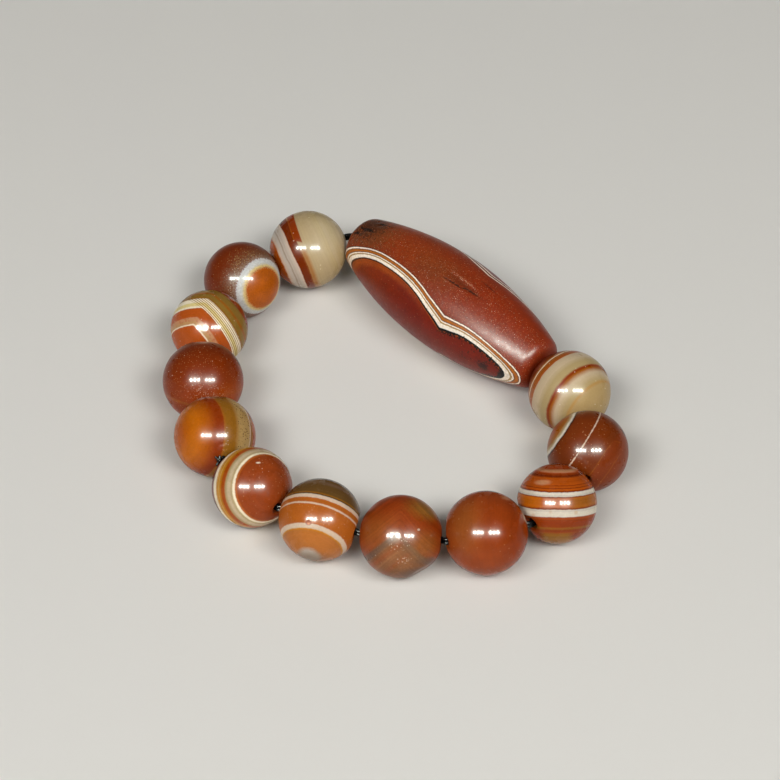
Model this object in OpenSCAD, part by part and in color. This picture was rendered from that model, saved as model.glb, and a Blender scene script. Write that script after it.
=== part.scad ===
// Bracelet of drilled agate beads on a doubled elastic cord, lying on a flat surface.
// Twelve round beads follow one another, and a long barrel bead closes the ring.

/* [Round beads] */
// Usual diameter of a round bead
bead_d = 13; // [11:0.5:15]
// How much dressing takes off each drilled end of a round bead
bead_flat = 0.2; // [0.1:0.05:0.4]

/* [Barrel bead] */
// Diameter at the middle of the barrel bead
barrel_d = 16.4; // [14:0.2:18]
// Diameter that the barrel's side would reach at its ends if the rims were sharp
barrel_end_d = 8.4; // [7:0.2:10]
// Radius of the worn rims at the barrel's ends
barrel_rim_r = 1.8; // [0.5:0.1:2]

/* [Holes] */
// Diameter of the hole through each bead
hole_d = 1.8; // [1.6:0.1:2.4]
// Width of the bevel round each mouth of a hole
mouth_bevel = 0.2; // [0.1:0.05:0.3]

/* [Cord] */
// Diameter of one strand of the elastic cord
strand_d = 0.6; // [0.4:0.05:0.65]
// Clear space between the two strands, which lie one above the other
strand_gap = 0.1; // [0.05:0.05:0.15]
// Diameter of the knot's lump
knot_d = 1.1; // [0.9:0.1:1.2]
// Diameter of the knot's cut ends, which have sprung thin
tail_d = 0.4; // [0.3:0.05:0.45]

/* [Hidden] */
$fn = 72;

// The round beads in their order, from the barrel's rear end anticlockwise round the ring:
// the diameter against bead_d, how far the bead is lifted off the surface,
// the gap to the next piece, and the compass angle of the next piece
SIZE = 0;
LIFT = 1;
GAP = 2;
HEADING = 3;
BEADS = [
    [ 0.2, 0.8, 0.2, 214.0],
    [-0.1, 0.2, 0.3, 248.5],
    [-0.2, 0.0, 0.1, 269.0],
    [ 0.1, 0.0, 0.1, 281.5],
    [ 0.0, 0.0, 0.1, 300.0],
    [-0.4, 0.0, 0.1, 327.0],
    [-0.2, 0.0, 0.1, 345.0],
    [-0.2, 0.0, 0.1, 364.0],
    [ 0.0, 0.0, 0.3, 391.5],
    [-0.5, 0.0, 0.1, 425.5],
    [-0.1, 0.0, 0.2, 460.5],
    [ 0.3, 0.5, 0.2, 489.5],
];
LAST = len(BEADS) - 1;

// Where the middle of the barrel's rear end lies, seen from the first bead:
// how far beyond that bead's surface, and the compass angle
rear_reach = 2.5;
rear_heading = 7.5;
// How far the barrel's rear end tips up
barrel_pitch = 1.5;

// The knot comes after this bead, counted from 0, this far outward and up from the string
knot_after = 4;
knot_out = 1.2;
knot_up = 1.6;
// The free space between the knot's neck and the strand that it reaches down to
neck_gap = 0.1;
// The four cut ends: how far each turns from outward, how far it rises, and its length
TURN = 0;
RISE = 1;
LENGTH = 2;
TAILS = [
    [ -63,  22, 0.9],
    [-126,  38, 0.7],
    [-169,  15, 1.05],
    [  15, -50, 1.05],
];

function unit(v) = v / norm(v);
function compass(angle) = [cos(angle), sin(angle), 0];
function level(v) = [v.x, v.y, 0];

// Sizes and places of the round beads, each placed from the one before
function radius(i) = (bead_d + BEADS[i][SIZE]) / 2;
function height(i) = radius(i) + BEADS[i][LIFT];
function after_bead(i, place) =
    let (
        reach = radius(i) + BEADS[i][GAP] + radius(i + 1),
        rise = height(i + 1) - height(i)
    )
    place + sqrt(pow(reach, 2) - pow(rise, 2)) * compass(BEADS[i][HEADING]) + [0, 0, rise];
CHAIN = [
    for (i = 0, place = [0, 0, height(0)]; i <= LAST;
         place = i < LAST ? after_bead(i, place) : place, i = i + 1)
        place
];

// The ring is moved so that the middle of its outer box is over the origin
function low(axis) = min([for (i = [0:LAST]) CHAIN[i][axis] - radius(i)]);
function high(axis) = max([for (i = [0:LAST]) CHAIN[i][axis] + radius(i)]);
CENTRE = [low(0) + high(0), low(1) + high(1), 0] / 2;
PLACES = [for (place = CHAIN) place - CENTRE];

// The barrel lies from the last bead to the first, with its lowest line on the surface
front_plan = level(PLACES[LAST]) + (radius(LAST) + BEADS[LAST][GAP]) * compass(BEADS[LAST][HEADING]);
rear_plan = level(PLACES[0]) + (radius(0) + rear_reach) * compass(rear_heading);
barrel_run = unit(rear_plan - front_plan) * cos(barrel_pitch) + [0, 0, sin(barrel_pitch)];
barrel_l = norm(rear_plan - front_plan) / cos(barrel_pitch);
side_sag = (barrel_d - barrel_end_d) / 2;
side_r = (pow(barrel_l / 2, 2) + pow(side_sag, 2)) / (2 * side_sag);
barrel_height = side_r - (side_r - barrel_d / 2) * cos(barrel_pitch);
barrel_middle = (front_plan + rear_plan) / 2 + [0, 0, barrel_height];
barrel_front = barrel_middle - barrel_run * barrel_l / 2;
barrel_rear = barrel_middle + barrel_run * barrel_l / 2;

// Each hole points from the piece before to the piece after. The last one meets the barrel
// face to face, so it turns further, towards the barrel's middle
function piece_before(i) = i == 0 ? barrel_rear : PLACES[i - 1];
function piece_after(i) = i == LAST ? barrel_middle : PLACES[i + 1];
function hole_run(i) = unit(piece_after(i) - piece_before(i));
function half_length(i) = radius(i) - bead_flat;

// The straight stretches of the string, each from one mouth of a hole to its other mouth
START = 0;
END = 1;
STRETCHES = concat(
    [for (i = [0:LAST]) [
        PLACES[i] - hole_run(i) * half_length(i),
        PLACES[i] + hole_run(i) * half_length(i),
    ]],
    [[barrel_front, barrel_rear]]
);
function run_of(stretch) = unit(stretch[END] - stretch[START]);

// From one hole to the next the string bends through one point, which lies as far out
// as a smooth curve along both holes would
function bend(from, to) =
    (from[END] + to[START]) / 2 + (run_of(from) - run_of(to)) * norm(to[START] - from[END]) / 8;
STRETCH_COUNT = len(STRETCHES);

// The string's line and how far its two strands are twisted about it: a column for each.
// They lie one above the other, and change places by half a turn inside the barrel
POINT = 0;
TWIST = 1;
TWIST_STEPS = 4;
STRING = concat(
    [
        for (k = [0:STRETCH_COUNT - 1])
            let (from = STRETCHES[k == 0 ? STRETCH_COUNT - 1 : k - 1], to = STRETCHES[k])
            each [[from[END], 0], [bend(from, to), 0], [to[START], 0]]
    ],
    [
        for (k = [1:TWIST_STEPS - 1])
            [barrel_front + (barrel_rear - barrel_front) * k / TWIST_STEPS, 180 * k / TWIST_STEPS]
    ]
);

// The way that a closed line runs at one of its points
function line_run(points, k) =
    let (n = len(points))
    unit(unit(points[(k + 1) % n] - points[k]) + unit(points[k] - points[(k + n - 1) % n]));

// A place beside a point of a line: this far off, turned from straight above
function beside(middle, run, reach, angle) =
    let (across = unit(cross(run, [0, 0, 1])), up = cross(across, run))
    middle + reach * (cos(angle) * up + sin(angle) * across);

// The cord's own line goes twice round the string
STRING_LINE = [for (place = STRING) place[POINT]];
CORD_LINE = [
    for (pass = [0, 1], k = [0:len(STRING) - 1])
        beside(
            STRING[k][POINT], line_run(STRING_LINE, k),
            (strand_d + strand_gap) / 2, 180 * pass + STRING[k][TWIST]
        )
];

// A closed tube: a ring of points round each point of its line
tube_sides = 8;

module closed_tube(line, d) {
    n = len(line);
    points = [
        for (k = [0:n - 1], s = [0:tube_sides - 1])
            beside(line[k], line_run(line, k), d / 2, 360 * s / tube_sides)
    ];
    faces = [
        for (k = [0:n - 1], s = [0:tube_sides - 1])
            let (
                here = k * tube_sides,
                next = (k + 1) % n * tube_sides,
                t = (s + 1) % tube_sides
            )
            each [[here + s, here + t, next + t], [here + s, next + t, next + s]]
    ];
    polyhedron(points, faces, convexity = 10);
}

// Turns what stands along +Z so that it points along run
module point_along(run) {
    rotate([0, acos(run.z), atan2(run.y, run.x)]) children();
}

// The hole through a bead of this length, with a bevel at each mouth
module hole(length) {
    cylinder(d = hole_d, h = length + 2, center = true);
    for (side = [0, 1]) mirror([0, 0, side])
        translate([0, 0, length / 2 - mouth_bevel])
            cylinder(d1 = hole_d, d2 = hole_d + 4 * mouth_bevel, h = 2 * mouth_bevel);
}

module drilled_ball(i) {
    length = 2 * half_length(i);
    translate(PLACES[i]) point_along(hole_run(i)) difference() {
        intersection() {
            sphere(r = radius(i));
            cylinder(r = bead_d, h = length, center = true);
        }
        hole(length);
    }
}

// Half of the barrel's outline: a long arc for the side, and a round at each rim that
// runs smoothly into the arc and into the flat end
module barrel_outline() {
    arc_centre = barrel_d / 2 - side_r;
    rim_along = barrel_l / 2 - barrel_rim_r;
    rim_out = arc_centre + sqrt(pow(side_r - barrel_rim_r, 2) - pow(rim_along, 2));
    intersection() {
        translate([arc_centre, 0]) circle(r = side_r, $fn = 720);
        translate([0, -rim_along]) square([barrel_d, 2 * rim_along]);
    }
    translate([0, -barrel_l / 2]) square([rim_out, barrel_l]);
    for (side = [-1, 1]) translate([rim_out, side * rim_along]) circle(r = barrel_rim_r);
}

module round_bead_01() { color("wheat") drilled_ball(0); }
module round_bead_02() { color("rosybrown") drilled_ball(1); }
module round_bead_03() { color("peru") drilled_ball(2); }
module round_bead_04() { color("saddlebrown") drilled_ball(3); }
module round_bead_05() { color("chocolate") drilled_ball(4); }
module round_bead_06() { color("sienna") drilled_ball(5); }
module round_bead_07() { color("peru") drilled_ball(6); }
module round_bead_08() { color("sienna") drilled_ball(7); }
module round_bead_09() { color("firebrick") drilled_ball(8); }
module round_bead_10() { color("chocolate") drilled_ball(9); }
module round_bead_11() { color("sienna") drilled_ball(10); }
module round_bead_12() { color("wheat") drilled_ball(11); }

module barrel_bead() {
    color("brown") translate(barrel_middle) point_along(barrel_run) difference() {
        rotate_extrude($fn = 120) barrel_outline();
        hole(barrel_l);
    }
}

module elastic_cord() {
    color("black") closed_tube(CORD_LINE, strand_d);
}

// The knot sits in the wedge between two beads, outside and above the strands: a lump,
// a thin neck down to the upper strand, and the cut ends
module cord_knot() {
    string = bend(STRETCHES[knot_after], STRETCHES[knot_after + 1]);
    outward = BEADS[knot_after][HEADING] - 90;
    lump = string + knot_out * compass(outward) + [0, 0, knot_up];
    neck = string + [0, 0, (strand_d + strand_gap) / 2] - lump;
    color("black") translate(lump) {
        sphere(d = knot_d, $fn = 36);
        point_along(unit(neck))
            cylinder(d = tail_d / 2, h = norm(neck) - strand_d / 2 - neck_gap, $fn = 24);
        for (tail = TAILS)
            point_along(cos(tail[RISE]) * compass(outward + tail[TURN]) + [0, 0, sin(tail[RISE])])
                cylinder(d = tail_d, h = tail[LENGTH], $fn = 24);
    }
}

round_bead_01();
round_bead_02();
round_bead_03();
round_bead_04();
round_bead_05();
round_bead_06();
round_bead_07();
round_bead_08();
round_bead_09();
round_bead_10();
round_bead_11();
round_bead_12();
barrel_bead();
elastic_cord();
cord_knot();
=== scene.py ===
"""Blender scene of an agate bead bracelet: twelve round beads and one long barrel bead, each
drilled through, on a doubled elastic cord that is knotted between the fifth bead and the sixth.
"""

import math
from functools import partial

import bmesh
import bpy
from bpy.props import FloatProperty, FloatVectorProperty, IntProperty, PointerProperty
from bpy.types import Operator, Panel, PropertyGroup
from mathutils import Matrix, Vector, noise


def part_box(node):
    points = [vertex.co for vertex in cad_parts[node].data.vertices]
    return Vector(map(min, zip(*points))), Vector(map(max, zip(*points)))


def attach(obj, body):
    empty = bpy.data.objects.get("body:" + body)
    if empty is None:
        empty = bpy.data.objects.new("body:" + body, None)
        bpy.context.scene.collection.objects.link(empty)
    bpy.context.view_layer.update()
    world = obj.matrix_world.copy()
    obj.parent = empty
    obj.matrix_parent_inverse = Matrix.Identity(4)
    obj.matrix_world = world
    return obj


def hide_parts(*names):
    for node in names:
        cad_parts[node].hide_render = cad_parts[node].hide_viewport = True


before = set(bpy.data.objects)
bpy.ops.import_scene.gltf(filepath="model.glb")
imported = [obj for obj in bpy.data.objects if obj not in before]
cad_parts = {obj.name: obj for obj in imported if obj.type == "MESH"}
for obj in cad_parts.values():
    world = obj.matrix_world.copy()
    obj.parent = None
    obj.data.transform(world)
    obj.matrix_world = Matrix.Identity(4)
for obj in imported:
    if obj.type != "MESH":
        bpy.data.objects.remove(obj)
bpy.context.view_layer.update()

bl_info = {
    "name": "Agate bead bracelet",
    "version": (1, 0, 0),
    "blender": (4, 5, 0),
    "location": "View3D > Sidebar > Bracelet",
    "description": "Makes the stones, the elastic cord and the stage of an agate bead bracelet",
    "category": "Object",
}

MM = 0.001
AGATE_IOR = 1.54
EDGE_BLUR = 0.02
# Noise seldom lies more than a quarter from its middle value, and this brings that to 1
NOISE_SPAN = 4

# Where the bracelet is looked at from: the height angle and roll of the view, and its distance
VIEW_HEIGHT = math.radians(42.62)
VIEW_ROLL = math.radians(0.8194)
VIEW_DISTANCE = 448.16 * MM
VIEW_TARGET = Vector((-0.4946, 6.3438, 0)) * MM
VIEW_LENS = 125.24
VIEW_FILM = 36
VIEW_AXES = (
    Matrix.Rotation(math.pi / 2 - VIEW_HEIGHT, 3, "X") @ Matrix.Rotation(VIEW_ROLL, 3, "Z")
)
VIEW_PLACE = VIEW_TARGET + VIEW_DISTANCE * VIEW_AXES.col[2]

# The stones, in millimetres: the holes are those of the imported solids
HOLE_R = 0.9
MOUTH_BEVEL = 0.2
MOUTH_R = HOLE_R + MOUTH_BEVEL
BEAD_FLAT = 0.2
BARREL_LENGTH = 42.705
BARREL_R = 8.2
BARREL_SIDE_R = 58.99
BARREL_RIM_R = 1.8
BARREL_HEADING = math.radians(134.37)
BARREL_PITCH = math.radians(1.5)
SHARP_EDGE = math.radians(32)

# How uneven hand grinding leaves the stones: a round bead by a share of its size, and the barrel
# bead in millimetres. Worn flats end in a soft edge, in millimetres
BEAD_UNEVEN = 0.0015
BARREL_UNEVEN = 0.015
FLAT_SOFT = 0.15

# Rings of faces over a round bead, over the barrel bead's rim, and over its side before, along
# and past the crack, which lies between these angles along the side and round it, in radians
BEAD_RINGS = 92
RIM_RINGS = 16
SIDE_RINGS = (118, 84, 62)
CRACK_ALONG = (-0.003, -0.147)
CRACK_ROUND = (math.pi - 0.42, math.pi + 0.02)
CRACK_FACETS = 40

# The knot lies outside and above the string, after this bead counted from 0. Its loop is in
# millimetres, and so are its cut ends: degrees round from its heading, degrees up, and length
KNOT_AFTER = 4
KNOT_HEADING = math.radians(210)
KNOT_OUT = 1.2 * MM
KNOT_UP = 1.6 * MM
KNOT_LOOP_R = 0.16
KNOT_LOOP_STEPS = 48
KNOT_ENDS = ((-63, 22, 0.9), (-126, 38, 0.75), (-169, 15, 1.05), (15, -50, 1.05))
KNOT_LEGS = (-0.12, 0.12)

# The lamps: degrees beside and above the camera, and width and height in metres
SOFTBOX_ASIDE, SOFTBOX_ABOVE, SOFTBOX_SIZE = 22, 9, (0.52, 0.30)
BULBS_ASIDE, BULBS_ABOVE, BULB_SIZE = (11, 21, 31), 3, (0.09, 0.11)
FLOOR_R = 4.0


def linear(code):
    """An sRGB hex colour as linear RGBA."""
    parts = [int(code[i:i + 2], 16) / 255 for i in (0, 2, 4)]
    return (*(c / 12.92 if c <= 0.04045 else ((c + 0.055) / 1.055) ** 2.4 for c in parts), 1)


def stone_colour(name, code, description):
    return FloatVectorProperty(
        name=name, description=description, subtype="COLOR", size=4, min=0, max=1,
        default=linear(code),
    )


class AgateColours(PropertyGroup):
    """The colours of the stones' layers."""

    ivory: stone_colour("Ivory", "ecdfc2", "Brightest layers of the banded beads")
    bone: stone_colour("Bone", "f6e8d6", "Pinkish white lines of the barrel bead")
    # Shell also paints glints on the fifth bead's chips and part of the sheen in the fourth bead's
    # middle
    shell: stone_colour("Shell", "cdb59c", "Pinkish white lines")
    chalk: stone_colour("Chalk", "d0c6b4", "Cold white lines")
    frost: stone_colour("Frost", "c4c5c1", "Ring of the eye bead")
    cream: stone_colour("Cream", "ae9870", "Body of the first bead")
    milk: stone_colour("Milk", "c0aa8a", "Pinkish cream layers")
    butter: stone_colour("Butter", "ac9668", "Yellowish layers of the pale beads")
    lilac: stone_colour("Lilac", "bcae9f", "Greyish lilac layers")
    straw: stone_colour("Straw", "d7c482", "Pale yellow layers")
    sand: stone_colour("Sand", "ae8c54", "Dotted beige layers and pale specks")
    ochre: stone_colour("Ochre", "b9780a", "Yellow-brown layers")
    amber: stone_colour("Amber", "b45f08", "Clear orange-yellow stone")
    apricot: stone_colour("Apricot", "b0682b", "Pale orange stone")
    orange: stone_colour("Orange", "aa5a1c", "Orange stone")
    flame: stone_colour("Flame", "ab4d16", "Red-orange stone")
    burnt: stone_colour("Burnt orange", "a3480a", "Deep orange stone")
    brick: stone_colour("Brick", "8d3c14", "Plain red-orange beads")
    rust: stone_colour("Rust", "873205", "Brown-red stone")
    chestnut: stone_colour("Chestnut", "702e08", "Dark brown stone")
    russet: stone_colour("Russet", "6f2703", "Dark red-brown stone")
    # Umber also paints the shadow in the barrel bead's almond-shaped hollow
    umber: stone_colour("Umber", "3a1a09", "Dark lines and specks")
    cocoa: stone_colour("Cocoa", "7c4c2a", "Brown middle of the folded bead")
    mauve: stone_colour("Mauve", "5f4538", "Grey veins of the folded bead")
    olive: stone_colour("Olive", "624520", "Dull green-brown caps")
    khaki: stone_colour("Khaki", "8a6929", "Green-yellow layers")
    bronze: stone_colour("Bronze", "8c5a16", "Olive-brown layers")
    # Taupe also paints the shade low on the seventh bead
    taupe: stone_colour("Taupe", "70553c", "Grey-brown clouds")
    fawn: stone_colour("Fawn", "ba845c", "Pinkish beige layers")
    tan: stone_colour("Tan", "9a5818", "Plain tan lines")
    soot: stone_colour("Soot", "0a0503", "Black line and stains of the barrel bead")
    carnelian: stone_colour("Carnelian", "842803", "Middle of the barrel bead")
    oxblood: stone_colour("Oxblood", "741802", "Stone inside the barrel bead's loops")


def cord_size(name, description, usual, least, most):
    """A size of the cord, given in millimetres."""
    return FloatProperty(
        name=name, description=description, default=usual * MM, min=least * MM, max=most * MM,
        unit="LENGTH", precision=5,
    )


class BraceletSizes(PropertyGroup):
    """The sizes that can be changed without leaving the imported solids."""

    strand_d: cord_size("Strand", "Diameter of one strand of the elastic cord", 0.6, 0.4, 0.65)
    strand_gap: cord_size("Strand gap", "Clear space between the two strands", 0.1, 0.05, 0.15)
    tail_d: cord_size("Knot strand", "Diameter of the stretched cord in the knot", 0.42, 0.3, 0.5)
    bead_turns: IntProperty(
        name="Bead facets", description="Faces round the girdle of each round bead",
        default=144, min=48, max=180,
    )
    barrel_turns: IntProperty(
        name="Barrel facets", description="Faces round the barrel bead",
        default=208, min=96, max=240,
    )


class StageSettings(PropertyGroup):
    """The floor and the light."""

    floor_colour: stone_colour("Floor", "dcdad4", "Colour of the floor")
    air_colour: stone_colour("Surroundings", "e4e0d8", "Colour of the soft light all round")
    bulb_colour: stone_colour("Bulbs", "f8fdf2", "Colour of the bulbs as their glints show it")
    air_strength: FloatProperty(
        name="Fill", description="Strength of the soft light all round", default=0.12, min=0,
    )
    lamp_distance: FloatProperty(
        name="Lamp distance", description="How far the softboxes stand off",
        default=1.0, min=0.6, max=3, unit="LENGTH",
    )
    lamp_watts: FloatProperty(
        name="Softbox power", description="Power of each softbox", default=5.4, min=0, unit="POWER",
    )
    bulb_watts: FloatProperty(
        name="Bulb glints", description="Power of each bulb as its glints show it",
        default=14.5, min=0, unit="POWER",
    )


def strip(tint, low, high, blur=EDGE_BLUR, **more):
    """A mark between two depths."""
    return dict(more, colour=tint, reach=(low, high), blur=blur)


def patch(tint, centre, size, blur, **more):
    """A mark round a place, with its half sizes."""
    return dict(more, colour=tint, centre=centre, size=size, blur=blur)


def specks(tint, spacing, share, size, **more):
    """Specks so many millimetres apart, of which a share shows, sized by that spacing."""
    return dict(more, colour=tint, specks=(spacing, share, size))


# Directions in a round bead's axes: to its sides, the way that the second bead's eye faces, and
# the ways that the eighth bead's layers face left and right of their fold, and back from it
RIGHT, LEFT, DOWN = (1, 0, 0), (-1, 0, 0), (0, -1, 0)
EYE_WAY = (0.627, -0.237, 0.742)
FOLD_LEFT = (-0.624, 0.781, 0.024)
FOLD_RIGHT = (0.73, 0.664, 0.16)
FOLD_INNER = (-0.73, -0.664, -0.16)

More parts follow.
